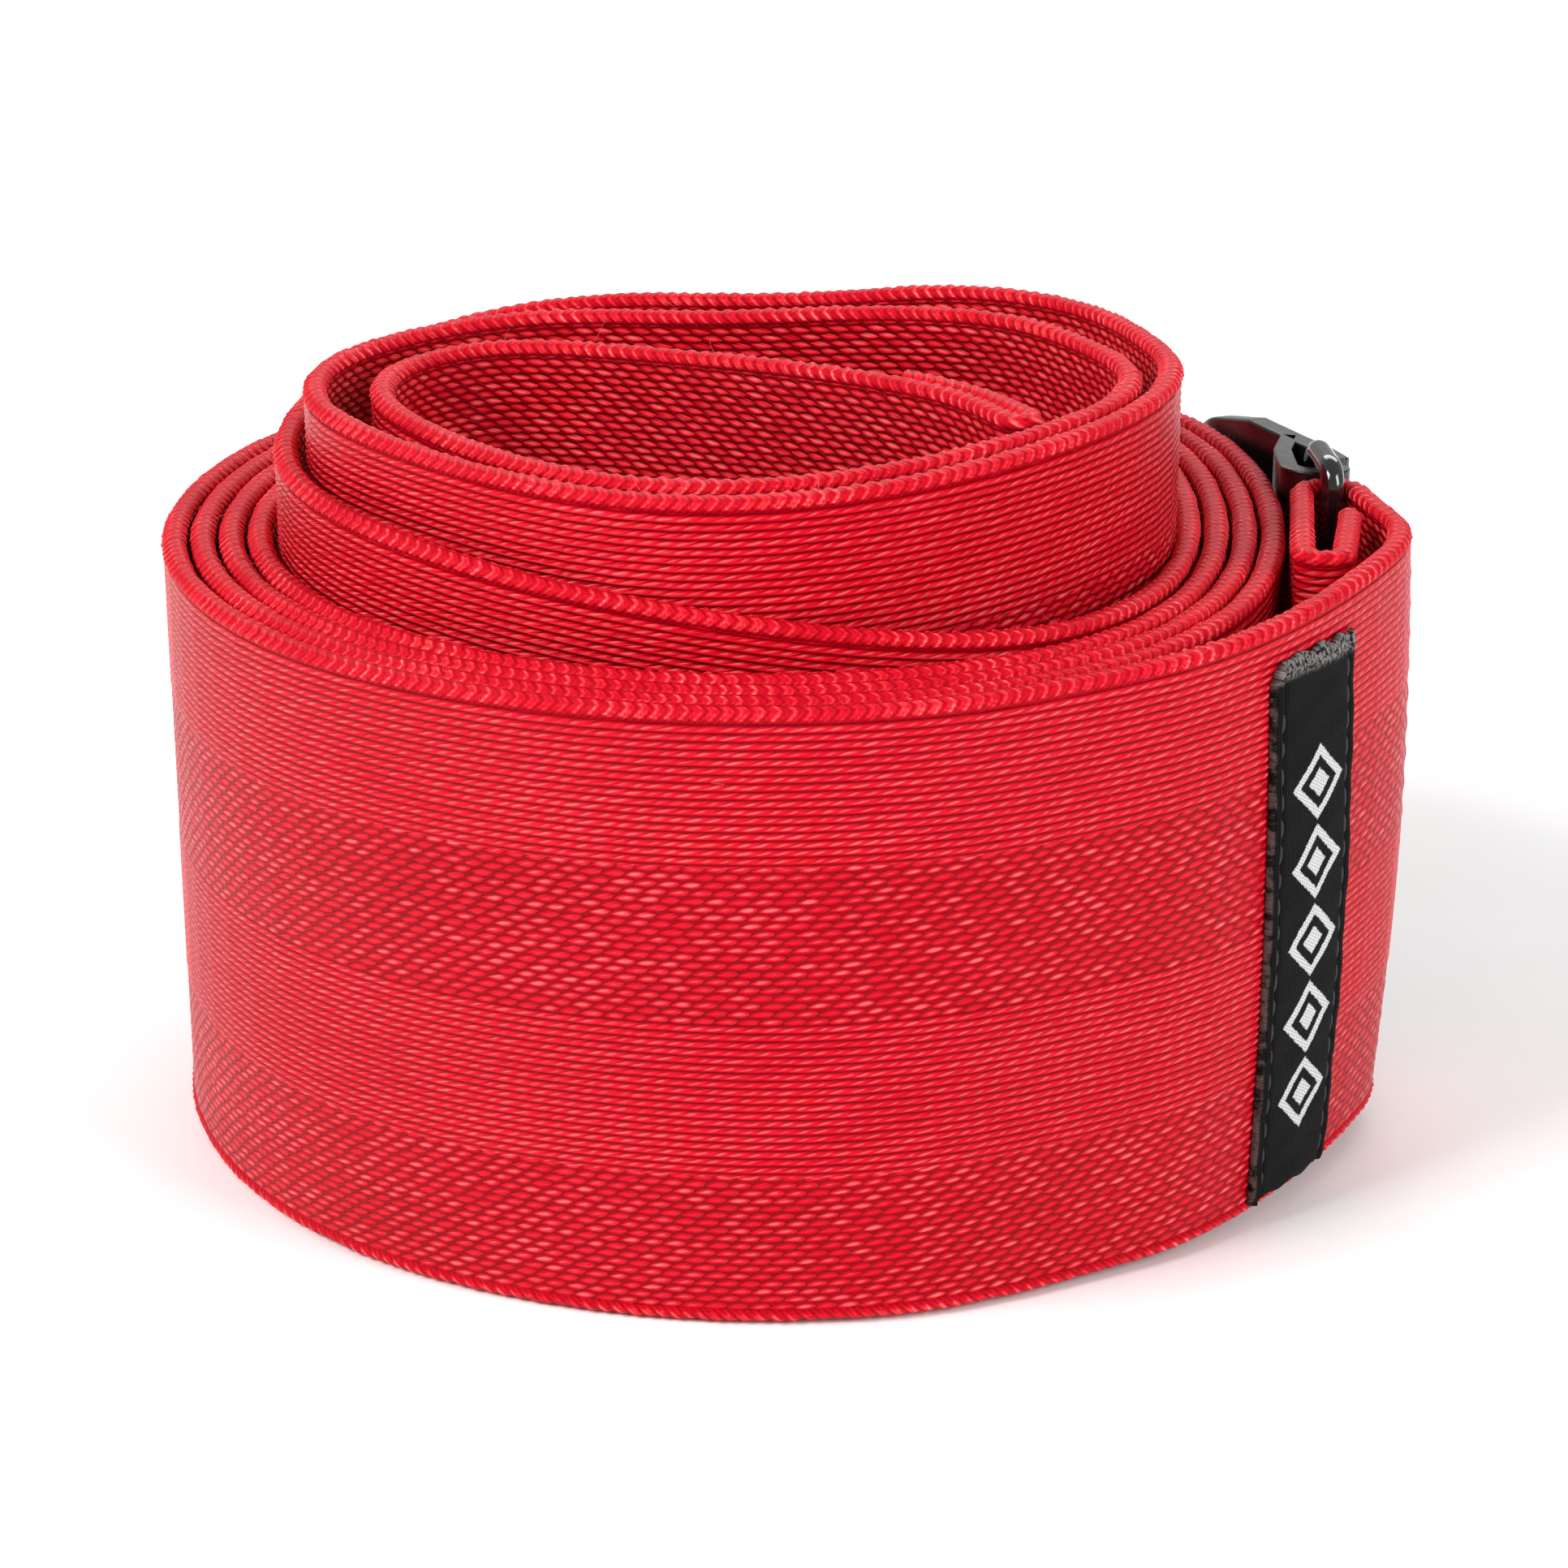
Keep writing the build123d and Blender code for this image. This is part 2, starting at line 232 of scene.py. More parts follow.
# The whole route of the webbing's middle, sampled every 0.1 mm: s is the distance along it.
plan = np.concatenate([hem_leg, hem_turn, roll_middle, loop[1:]])
hem_size = len(hem_leg) + len(hem_turn)
lift = np.concatenate([np.full(hem_size, HEM_LIFT), roll[:, 2], np.full(len(loop) - 1, LOOP_LIFT)])
s_raw = lengths(plan)
LENGTH = s_raw[-1]
s = np.arange(0, LENGTH, 0.1)
plan = np.stack([np.interp(s, s_raw, plan[:, i]) for i in (0, 1)], axis=1)
plan = smooth(plan, 7) + ROLL
lift = smooth(np.interp(s, s_raw, lift), 41)
normal = smooth(plan_normals(plan), 5)
normal /= np.linalg.norm(normal, axis=1)[:, None]
heading = np.unwrap(np.arctan2(normal[:, 1], normal[:, 0]))
bend = np.abs(smooth(np.gradient(heading, s), 9))
s_hem = s_raw[hem_size]
s_loop = s_raw[hem_size + len(roll)]
# The last stretch bellies outwards, the foot of the loop is tucked in, and the roll is not quite true.
belly = np.interp(s, [0, s_loop - 60, s_loop - 12, s_loop + 1, s_loop + 9, LENGTH], [0, 0, 1, 1, 0, 0])
lean = np.interp(s, [0, s_loop + 1, s_loop + 9, LENGTH], [0, 0, 0.75, 0.75])
lean = lean + 0.12 * np.sin(s / 31.0) * np.interp(s, [0, 30, s_loop - 70, s_loop - 40], [0, 1, 1, 0])


def at(along, across, off):
    """Points on the strap: distance along it, height across it and offset outwards from its middle."""
    along, across, off = np.broadcast_arrays(along, across, off)
    x, y = np.interp(along, s, plan[:, 0]), np.interp(along, s, plan[:, 1])
    nx, ny = np.interp(along, s, normal[:, 0]), np.interp(along, s, normal[:, 1])
    part = across / WIDTH
    out = off - np.interp(along, s, lean) * (1 - part)
    bulge = 0.3 + 0.7 * part + 0.9 * np.sin(math.pi * np.clip(part, 0, 1))
    out = out + np.interp(along, s, belly) * bulge
    z = np.interp(along, s, lift) + across
    return np.stack([x + nx * out, y + ny * out, z], axis=-1)


# ---------------------------------------------------------------- mesh helpers
def make_piece(name, vertices, faces, body, material, attributes=None):
    """A smooth-shaded mesh in metres that rides a body. The attributes are one number to a vertex."""
    mesh = bpy.data.meshes.new(name)
    mesh.from_pydata((np.asarray(vertices).reshape(-1, 3) * MM).tolist(), [], faces)
    for key, values in (attributes or {}).items():
        layer = mesh.attributes.new(key, "FLOAT", "POINT")
        layer.data.foreach_set("value", np.asarray(values, np.float32).ravel())
    mesh.validate()
    mesh.polygons.foreach_set("use_smooth", [True] * len(mesh.polygons))
    mesh.update()
    piece = bpy.data.objects.new(name, mesh)
    bpy.context.scene.collection.objects.link(piece)
    mesh.materials.append(material)
    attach(piece, body)
    return piece


def tube_faces(rings, around, closed=False, offset=0):
    """Quads between rings of points, with an end cap on an open tube."""
    faces = []
    last = rings if closed else rings - 1
    for i in range(last):
        a, b = offset + i * around, offset + ((i + 1) % rings) * around
        faces += [(a + k, a + (k + 1) % around, b + (k + 1) % around, b + k) for k in range(around)]
    if not closed:
        faces.append(tuple(offset + k for k in reversed(range(around))))
        faces.append(tuple(offset + (rings - 1) * around + k for k in range(around)))
    return faces


def adaptive(start, stop, most, least, per_bend):
    """Distances along the strap, closer together where it bends."""
    out = [start]
    while out[-1] < stop:
        k = min(int(out[-1] * 10), len(bend) - 1)
        sharp = bend[k:min(k + 30, len(bend))].max()
        out.append(out[-1] + min(most, max(least, per_bend / (sharp + 1e-6))))
    out[-1] = stop
    return np.array(out)


# ---------------------------------------------------------------- materials
class Value:
    """A number in a node tree, so that a pattern reads as arithmetic."""

    def __init__(self, tree, socket):
        self.tree, self.socket = tree, socket

    def math(self, operation, *others):
        node = self.tree.nodes.new("ShaderNodeMath")
        node.operation = operation
        for slot, value in zip(node.inputs, (self, *others)):
            if isinstance(value, Value):
                self.tree.links.new(value.socket, slot)
            else:
                slot.default_value = value
        return Value(self.tree, node.outputs[0])

    def __add__(self, other):
        return self.math("ADD", other)

    def __sub__(self, other):
        return self.math("SUBTRACT", other)

    def __rsub__(self, other):
        return (self * -1) + other

    def __mul__(self, other):
        return self.math("MULTIPLY", other)

    def __truediv__(self, other):
        return self.math("DIVIDE", other)

    def floor(self):
        return self.math("FLOOR")

    def fract(self):
        return self.math("FRACT")

    def sin(self):
        return self.math("SINE")

    def abs(self):
        return self.math("ABSOLUTE")

    def power(self, other):
        return self.math("POWER", other)

    def most(self, other):
        return self.math("MAXIMUM", other)

    def least(self, other):
        return self.math("MINIMUM", other)

    def mod(self, other):
        return self.math("FLOORED_MODULO", other)

    def ramp(self, low, high, to_low=0.0, to_high=1.0):
        """A smooth step from to_low, where this is low, to to_high, where it is high."""
        node = self.tree.nodes.new("ShaderNodeMapRange")
        node.interpolation_type = "SMOOTHSTEP"
        self.tree.links.new(self.socket, node.inputs["Value"])
        limits = {"From Min": low, "From Max": high, "To Min": to_low, "To Max": to_high}
        for key, value in limits.items():
            node.inputs[key].default_value = value
        return Value(self.tree, node.outputs["Result"])

    def between(self, one, other):
        """one where this is 0, other where it is 1."""
        return one + (other - one) * self


class Finish:
    """A node material with one Principled shader and its helpers."""

    def __init__(self, name, **numbers):
        self.material = bpy.data.materials.new(name)
        self.material.use_nodes = True
        self.tree = self.material.node_tree
        self.shader = self.tree.nodes["Principled BSDF"]
        for key, value in numbers.items():
            self.shader.inputs[key.replace("_", " ")].default_value = value

    def attribute(self, name):
        node = self.tree.nodes.new("ShaderNodeAttribute")
        node.attribute_name = name
        return Value(self.tree, node.outputs["Fac"])

    def place(self):
        return self.tree.nodes.new("ShaderNodeTexCoord").outputs["Object"]

    def vector(self, x, y, z=0.0):
        node = self.tree.nodes.new("ShaderNodeCombineXYZ")
        for slot, value in zip(node.inputs, (x, y, z)):
            if isinstance(value, Value):
                self.tree.links.new(value.socket, slot)
            else:
                slot.default_value = value
        return node.outputs[0]

    def noise(self, vector, scale, detail=2.0, roughness=0.5):
        node = self.tree.nodes.new("ShaderNodeTexNoise")
        self.tree.links.new(vector, node.inputs["Vector"])
        node.inputs["Scale"].default_value = scale
        node.inputs["Detail"].default_value = detail
        node.inputs["Roughness"].default_value = roughness
        return Value(self.tree, node.outputs["Fac"])

    def chance(self, value):
        node = self.tree.nodes.new("ShaderNodeTexWhiteNoise")
        node.noise_dimensions = "1D"
        self.tree.links.new(value.socket, node.inputs["W"])
        return Value(self.tree, node.outputs["Value"])

    def colours(self, value, stops):
        node = self.tree.nodes.new("ShaderNodeValToRGB")
        while len(node.color_ramp.elements) < len(stops):
            node.color_ramp.elements.new(0.5)
        for element, (position, colour) in zip(node.color_ramp.elements, stops):
            element.position = position
            element.color = (*colour, 1)
        self.tree.links.new(value.socket, node.inputs["Fac"])
        return node.outputs["Color"]

    def mix(self, factor, one, other):
        node = self.tree.nodes.new("ShaderNodeMix")
        node.data_type = "RGBA"
        self.tree.links.new(factor.socket, node.inputs["Factor"])
        for slot, colour in ((node.inputs["A"], one), (node.inputs["B"], other)):
            if isinstance(colour, tuple):
                slot.default_value = (*colour, 1)
            else:
                self.tree.links.new(colour, slot)
        return node.outputs["Result"]

    def finish(self, colour, rough, height, depth):
        """Links the colour, the roughness (unless None) and a bump depth metres high."""
        self.tree.links.new(colour, self.shader.inputs["Base Color"])
        if rough is not None:
            self.tree.links.new(rough.socket, self.shader.inputs["Roughness"])
        bump = self.tree.nodes.new("ShaderNodeBump")
        bump.inputs["Distance"].default_value = depth
        self.tree.links.new(height.socket, bump.inputs["Height"])
        self.tree.links.new(bump.outputs["Normal"], self.shader.inputs["Normal"])
        return self.material


def webbing_finish():
    f = Finish("red_webbing", Specular_IOR_Level=0.46, Specular_Tint=(1.0, 0.15, 0.18, 1.0))
    along, across, side = f.attribute("along"), f.attribute("across"), f.attribute("side")
    row = across * (1 / PITCH)
    number = row.floor()
    luck = f.chance(number * 1.37 + 0.5)
    wander = f.noise(f.vector(along * 0.35, number * 7.0), 1.0, 2.0)
    # Ribs: one twisted yarn to a row, running along the strap, its strands at a shallow slant.
    inside = (row + (wander - 0.5) * 0.16).fract()
    round_yarn = (1.0 - ((inside - 0.5) * 2).abs().power(2.6)).most(0.0)
    strand = ((along * 0.74 - inside * 1.15 + luck * 9.0 + wander * 1.6) * math.tau).sin() * 0.5 + 0.5
    lines = f.noise(f.vector((inside * PITCH - along * 0.3) * 8.0, along * 0.45, number * 3.7), 1.0, 2.0)
    rib = round_yarn * (strand * 0.26 + lines * 0.34 + wander * 0.3 + 0.36)
    # Floats: short slanted grains, each row half a step from the next.
    step = along * (1 / FLOAT_STEP) + number * 0.5 + wander * 0.45 + luck * 0.2
    grain = (step.fract() - 0.5) * 2
    bulge = (1.0 - grain * grain).most(0.0)
    offset = (row.fract() - 0.5 - grain * 0.15).abs() / (bulge.power(0.6) * 0.5 + 0.03)
    lens = (1.0 - offset.power(2.0)).most(0.0)
    strong = f.chance(step.floor() + number * 3.1)
    floats = lens * (strong * 0.3 + lines * 0.4 + 0.5) * (bulge * 0.5 + 0.5) + 0.05
    # Rib and float bands alternate on the outer face. The inner face is all floats.
    band = (across * (1 / BAND)).floor().mod(2.0)
    outer = side.ramp(-0.2, 0.2)
    height = (band * outer).between(floats, rib)
    mottle = f.noise(f.vector(along * 0.05, across * 0.11), 1.0, 3.0, 0.55)
    streak = f.noise(f.vector(along * 0.16, number * 5.3), 1.0, 2.0)
    # The colour follows the weave's height. Its valleys are painted shade, its ridges are painted
    # lighter, and the ramps' top stops are painted highlights on the yarns.
    shade_and_highlight_tone = height * 0.98 + mottle * 0.16 + streak * 0.24 - 0.2
    front = f.colours(shade_and_highlight_tone, [
        (0.0, (0.24, 0.0, 0.003)), (0.2, (0.40, 0.0, 0.007)), (0.5, (0.58, 0.0, 0.011)),
        (0.78, (0.74, 0.008, 0.024)), (1.0, (0.93, 0.14, 0.14))])
    # The inner face's ramp runs a little brighter than the outer one's in its upper middle. This is
    # painted light for the roll's shaded interior.
    back = f.colours(shade_and_highlight_tone, [
        (0.0, (0.17, 0.0, 0.002)), (0.28, (0.33, 0.0003, 0.006)), (0.6, (0.64, 0.002, 0.014)),
        (0.85, (0.84, 0.045, 0.055)), (1.0, (0.86, 0.15, 0.15))])
    colour = f.mix(outer, back, front)
    rough = mottle * 0.16 + height * -0.1 + 0.36
    return f.finish(colour, rough, height * 0.8 + lines * 0.3, 0.0003)


def selvedge_finish():
    f = Finish("red_selvedge", Specular_IOR_Level=0.26, Specular_Tint=(1.0, 0.12, 0.15, 1.0))
    along, round_edge, stitch = f.attribute("along"), f.attribute("round_edge"), f.attribute("stitch")
    fibre = f.noise(f.vector(along * 2.6, round_edge * 5.0), 1.0, 3.0, 0.6)
    mottle = f.noise(f.vector(along * 0.1, round_edge), 1.0, 2.0)
    wrap = ((along * (1 / WRAP_PITCH) + round_edge * 1.3 + fibre * 0.5) * math.tau).sin() * 0.5 + 0.5
    # The colour follows the stitches' and wraps' height. The gaps between them are painted shade, and
    # the top stop is a painted highlight on their crests.
    shade_and_highlight_tone = stitch * 0.56 + wrap * 0.24 + fibre * 0.42 + mottle * 0.2 - 0.22
    colour = f.colours(shade_and_highlight_tone, [
        (0.0, (0.24, 0.0, 0.004)), (0.3, (0.46, 0.002, 0.011)), (0.55, (0.64, 0.006, 0.02)),
        (0.78, (0.84, 0.06, 0.065)), (0.95, (0.95, 0.24, 0.22))])
    return f.finish(colour, fibre * 0.2 + 0.42, wrap * 0.6 + fibre * 0.4, 0.00007)


def thread_finish(name, dark, bright, rough=0.55):
    f = Finish(name, Roughness=rough, Specular_IOR_Level=0.4, Sheen_Weight=0.15)
    fibre = f.noise(f.place(), 5200.0, 3.0, 0.6)
    return f.finish(f.colours(fibre, [(0.3, dark), (0.75, bright)]), None, fibre, 0.00005)


def label_finish():
    f = Finish("black_woven_label", Specular_IOR_Level=0.1, Sheen_Weight=0.01)
    u, v, face = f.attribute("label_across"), f.attribute("label_up"), f.attribute("label_face")
    warp = ((u * (1 / LABEL_WARP)).fract() - 0.5).abs() * 2
    weft = ((v * (1 / LABEL_WEFT) + (u * (1 / LABEL_WARP)).floor() * 0.5).fract() - 0.5).abs() * 2
    weave = (1.0 - warp.power(2.0)) * (1.0 - weft.power(2.0))
    cloud = f.noise(f.vector(u * 0.5, v * 0.5), 1.0, 3.0)
    black = f.colours(weave * 0.6 + cloud * 0.4, [
        (0.1, (0.0006, 0.0006, 0.0006)), (0.9, (0.008, 0.0076, 0.0073))])
    # A generic woven mark: a column of hollow lozenges with solid centres.
    ragged = f.noise(f.vector(u * 2.5, v * 2.5), 1.0, 1.0) * 0.10 - 0.05
    period = ((v - 5.0) * (1 / LOZENGE_HEIGHT)).fract() - 0.5
    shape = (u - 0.45).abs() * (1 / LOZENGE_HALF) + period.abs() * 2.0 + ragged
    ring = shape.ramp(0.64, 0.69) * shape.ramp(0.92, 0.97, 1.0, 0.0)
    solid = shape.ramp(0.34, 0.39, 1.0, 0.0)
    window = v.ramp(4.95, 5.05) * v.ramp(38.95, 39.05, 1.0, 0.0)
    mark = (ring + solid).least(1.0) * window * face
    white = f.colours(weave, [(0.0, (0.42, 0.42, 0.43)), (0.8, (0.86, 0.86, 0.86))])
    colour = f.mix(mark, black, white)
    # The folded left edge is rubbed brown and the cut top edge is frayed grey.
    rub = f.noise(f.vector(u * 1.6, v * 0.9), 1.0, 4.0, 0.7)
    left = u.ramp(-5.45, -5.15, 1.0, 0.0) * rub.ramp(0.4, 0.6)
    colour = f.mix(left * 0.75, colour, (0.16, 0.105, 0.095))
    top = v.ramp(44.9, 45.9) * f.noise(f.vector(u * 3.2, v * 2.2), 1.0, 3.0, 0.7).ramp(0.4, 0.6)
    colour = f.mix(top * 0.8, colour, (0.34, 0.31, 0.30))
    return f.finish(colour, cloud * 0.15 + 0.66, weave + mark * 0.7 + rub * 0.15, 0.00009)


def enamel_finish(name, coat):
    """Black enamel: the finish, its orange peel and its colour."""
    f = Finish(name, Specular_IOR_Level=0.55, Coat_Weight=coat, Coat_Roughness=0.03)
    peel = f.noise(f.place(), 900.0, 3.0, 0.5)
    colour = f.colours(peel, [(0.3, (0.0035, 0.0035, 0.004)), (0.8, (0.010, 0.010, 0.011))])
    return f, peel, colour


def wire_finish():
    f, peel, colour = enamel_finish("black_enamel_wire", 0.7)
    specks = f.noise(f.place(), 3200.0, 2.0, 0.6)
    return f.finish(colour, peel * 0.06 + 0.09, peel * 0.7 + specks * 0.3, 0.000012)


def plate_finish():
    f, peel, colour = enamel_finish("black_enamel_plate", 0.15)
    # The cut edges are worn to a gritty grey.
    edge = f.attribute("cut_edge")
    grit = f.noise(f.place(), 1500.0, 4.0, 0.65)
    worn = edge * grit.ramp(0.2, 0.45)
    grey = f.colours(grit, [
        (0.25, (0.018, 0.020, 0.018)), (0.5, (0.045, 0.049, 0.043)), (0.8, (0.10, 0.103, 0.092))])
    colour = f.mix(worn, colour, grey)
    return f.finish(colour, worn * 0.42 + peel * 0.06 + 0.16, peel * 0.4 + grit * edge * 0.8, 0.00004)


# ---------------------------------------------------------------- webbing
def build_webbing():
    """One closed mesh, with a vertex in each valley and on each ridge of the outer face's rows."""
    half_rows = np.arange(4, int((WIDTH - 1.4) / PITCH) * 2 + 1)
    up = half_rows * PITCH / 2
    relief = np.where(np.floor(up / BAND) % 2 == 1, RIB_RELIEF, FLOAT_RELIEF)
    outer_off = OUTER_FACE + np.where(half_rows % 2 == 0, 0.0, relief)
    turn = np.linspace(0, math.pi, 8)[1:-1]
    top_up, top_off = WIDTH - HALF + EDGE_RISE * np.sin(turn), EDGE_OUT * np.cos(turn)
    low_up, low_off = HALF - EDGE_RISE * np.sin(turn), -EDGE_OUT * np.cos(turn)
    back_up = np.arange(up[-1], up[0] - 0.1, -PITCH * 2)
    back_off = INNER_FACE + 0.03 * np.cos(np.arange(len(back_up)) * 2.1)
    section_up = np.concatenate([up, top_up, back_up, low_up])
    section_off = np.concatenate([outer_off, top_off, back_off, low_off])
    section_side = np.repeat([1.0, 0.0, -1.0, 0.0], [len(up), len(top_up), len(back_up), len(low_up)])
    along = adaptive(0.0, LENGTH - 0.2, 4.2, 0.35, 0.16)
    grid = at(along[:, None], section_up[None, :], section_off[None, :])
    wave = 0.05 * np.sin(along / 5.3)[:, None] * np.sin(section_up / 9.0)[None, :]
    grid[..., 2] += wave
    count = len(section_up)
    piece = make_piece(
        "webbing_weave", grid, tube_faces(len(along), count), "strap", webbing_finish(),
        attributes={
            "along": np.repeat(along, count), "across": np.tile(section_up, len(along)),
            "side": np.tile(section_side, len(along)),
        })
    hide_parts("webbing")
    return piece


def build_selvedge(name, upper, step):
    """The rounded edge of the webbing: two rows of chevron stitches with a groove between them."""
    along = np.arange(0.15, LENGTH - 0.3, step)
    # Angles run over the edge from the outer face to the inner one, and close underneath.
    angle = np.concatenate([np.linspace(-105, 105, 11), [145, -145]])
    around = len(angle)
    phi = np.radians(angle)
    # v is the distance from the middle of the nearer row of stitches.
    v = np.abs(np.abs(angle) - 46) / 50
    lag = along[:, None] / CHEVRON_PITCH + 0.55 * v[None, :] + 0.37 * (angle[None, :] > 0)
    drift = 0.22 * np.sin(along / 3.7 + 1.3) + 0.13 * np.sin(along / 1.9) + 0.3 * np.sin(along / 11.0)
    wave = 0.5 + 0.5 * np.cos(2 * math.pi * (lag + drift[:, None]))
    stitch = wave ** 0.8 * (1 - 0.35 * np.exp(-(v / 0.2) ** 2))[None, :]
    stitch = stitch * (1 - 0.7 * np.exp(-(angle / 13.0) ** 2))[None, :]
    low = np.abs(angle) > 100
    stitch[:, low] = 0
    size = 1 + 0.25 * np.sin(along / 2.3)[:, None] * np.sin(along / 7.1)[:, None]
    uneven = smooth(rng.normal(0, 0.05, len(along)), 5)[:, None] * ~low[None, :]
    radius = SELVEDGE_RADIUS + CHEVRON_RISE * stitch * size + uneven
    off = -np.sin(phi)[None, :] * radius * 1.02
    rise = np.cos(phi)[None, :] * radius * 0.92
    centre = WIDTH - SELVEDGE_INSET if upper else SELVEDGE_INSET
    across = centre + (rise if upper else -rise)
    grid = at(along[:, None], across, off)
    grid[..., 2] = np.maximum(grid[..., 2], 0.0)
    faces = tube_faces(len(along), around)
    if upper:
        faces = [tuple(reversed(face)) for face in faces]
    piece = make_piece(
        name, grid, faces, "strap", selvedge,
        attributes={"along": np.repeat(along, around), "round_edge": np.tile(v, len(along)),
                    "stitch": stitch * size})
    return piece


selvedge = selvedge_finish()
webbing = build_webbing()
upper = build_selvedge("upper_selvedge", True, 0.24)
lower = build_selvedge("lower_selvedge", False, 0.30)


# ---------------------------------------------------------------- stitches
def build_stitches(name, stitches, radius, material, node):
    """Short arched stitches, given the start, end and outward direction of each."""
    vertices, faces = [], []
    around = 8
    steps = np.linspace(0, 1, 7)
    for start, end, out in stitches:
        start, end, out = (np.array(p, float) for p in (start, end, out))
        along = (end - start) / np.linalg.norm(end - start)
        side = np.cross(along, out)
        base = len(vertices)
        for t in steps:
            rise = radius * (math.sin(math.pi * t) ** 0.6 * 0.8 - 0.9)
            middle = start + (end - start) * t + out * rise
            size = radius * (0.35 + 0.65 * math.sin(math.pi * (0.08 + 0.84 * t)) ** 0.5)
            for k in range(around):
                a = 2 * math.pi * k / around
                vertices.append(middle + (math.cos(a) * side + math.sin(a) * out) * size)
        faces += tube_faces(len(steps), around, offset=base)
    piece = make_piece(name, vertices, faces, "strap", material)
    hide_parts(node)
    return piece


def outward(along):
    """The level unit direction out of the webbing's outer face."""
    n = np.array([np.interp(along, s, normal[:, 0]), np.interp(along, s, normal[:, 1]), 0.0])
    return n / np.linalg.norm(n)


# ---------------------------------------------------------------- label
LABEL_S = s_loop - LABEL_BEFORE_LOOP


def label_off(u, v):
    """How far the label's front stands off the webbing's middle."""
    body = LABEL_FRONT + 0.05 * np.sin(v * 0.55 + u) + 0.035 * np.sin(v * 1.7 - u * 0.8)
    fold = 0.42 * np.exp(-((u + 4.95) / 0.42) ** 2)
    left_row = -0.16 * np.exp(-((u - LEFT_ROW) / 0.22) ** 2)
    right_row = -0.20 * np.exp(-((u - RIGHT_ROW) / 0.25) ** 2)
    edge = -0.25 * np.clip((np.abs(u) - 5.25) / 0.25, 0, 1) ** 2
    ends = -0.2 * np.clip((np.abs(v - LABEL_UP / 2) - 22.6) / 0.4, 0, 1) ** 2
    curl = 0.25 * np.clip((v - 43.5) / 2.5, 0, 1) ** 2
    return body + fold + left_row + right_row + edge + ends + curl


def set_over(v):
    """The label stands a little askew: its foot is set further along the strap than its top."""
    return 0.7 * (1 - v / LABEL_UP)


def build_label():
    # Columns stand closer together at the folded left edge and at the two rows of stitches.
    across = np.concatenate([
        np.linspace(-LABEL_HALF, -3.9, 15), np.linspace(-3.7, 4.0, 26),
        np.linspace(4.15, LABEL_HALF, 10)])
    up = np.linspace(0, 1, 120)
    # The top left corner is turned under, and the cut ends are not quite straight.
    corner = 1.7 * np.clip((-across - 3.4) / 2.1, 0, 1) ** 1.8
    top = LABEL_UP - corner + 0.18 * np.sin(across * 2.3) + 0.08 * rng.normal(size=len(across))
    foot = 0.25 + 0.12 * np.sin(across * 1.9 + 1) + 0.1 * np.clip(across / LABEL_HALF, -1, 1)
    v = foot[None, :] + (top - foot)[None, :] * up[:, None]
    u = np.broadcast_to(across[None, :], v.shape)
    front = label_off(u, v)
    lift_here = np.interp(LABEL_S + u, s, lift)
    height = LABEL_LOW + v - lift_here
    n_up, n_across = v.shape
    face = at(LABEL_S + u + set_over(v), height, front)
    back = at(LABEL_S + u + set_over(v), height, np.full_like(front, LABEL_BACK))
    vertices = np.concatenate([face.reshape(-1, 3), back.reshape(-1, 3)])
    size = n_up * n_across
    faces = []
    for i in range(n_up - 1):
        for j in range(n_across - 1):
            a = i * n_across + j
            faces.append((a, a + 1, a + n_across + 1, a + n_across))
            faces.append((size + a, size + a + n_across, size + a + n_across + 1, size + a + 1))
    rim = list(range(n_across))
    rim += [i * n_across + n_across - 1 for i in range(1, n_up)]
    rim += [(n_up - 1) * n_across + j for j in range(n_across - 2, -1, -1)]
    rim += [i * n_across for i in range(n_up - 2, 0, -1)]
    for a, b in zip(rim, rim[1:] + rim[:1]):
        faces.append((b, a, size + a, size + b))
    piece = make_piece(
        "woven_label_cloth", vertices, faces, "strap", label_finish(),
        attributes={"label_across": np.tile(u.ravel(), 2), "label_up": np.tile(v.ravel(), 2),
                    "label_face": np.repeat([1.0, 0.0], size)})
    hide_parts("woven_label")
    return piece


def label_rows():
    """The two rows of stitches down the label's edges."""
    stitches = []
    for u, top in ((LEFT_ROW, 43.0), (RIGHT_ROW, 45.0)):
        v = 1.2
        while v + 1.7 < top:
            jitter = random.uniform(-0.05, 0.05)
            a, b = v, v + 1.75 + random.uniform(-0.12, 0.12)
            base = float(np.interp(LABEL_S + u, s, lift))
            place = LABEL_S + u + set_over(a)
            start = at(place + jitter, LABEL_LOW + a - base, label_off(u, a))
            end = at(place - jitter, LABEL_LOW + b - base, label_off(u, b))
            stitches.append((start, end, outward(LABEL_S + u)))
            v += 2.2
    return stitches


def seam(u0, v0, u1, v1, off):
    """A line of stitches between two places on the strap at one offset from its middle."""
    stitches = []
    count = max(1, round(math.hypot(u1 - u0, v1 - v0) / SEAM_PITCH))
    for i in range(count):
        a, b = (i + 0.12) / count, (i + 0.88) / count
        stitches.append((
            at(u0 + (u1 - u0) * a, v0 + (v1 - v0) * a, off),
            at(u0 + (u1 - u0) * b, v0 + (v1 - v0) * b, off), outward(u0 + (u1 - u0) * (a + b) / 2)))
    return stitches


label = build_label()

black_thread = thread_finish("black_thread", (0.004, 0.004, 0.005), (0.03, 0.03, 0.034))
red_thread = thread_finish("red_thread", (0.30, 0.003, 0.010), (0.62, 0.035, 0.05))

label_stitching = build_stitches(
    "label_stitches", label_rows(), LABEL_THREAD, black_thread, "label_stitching")

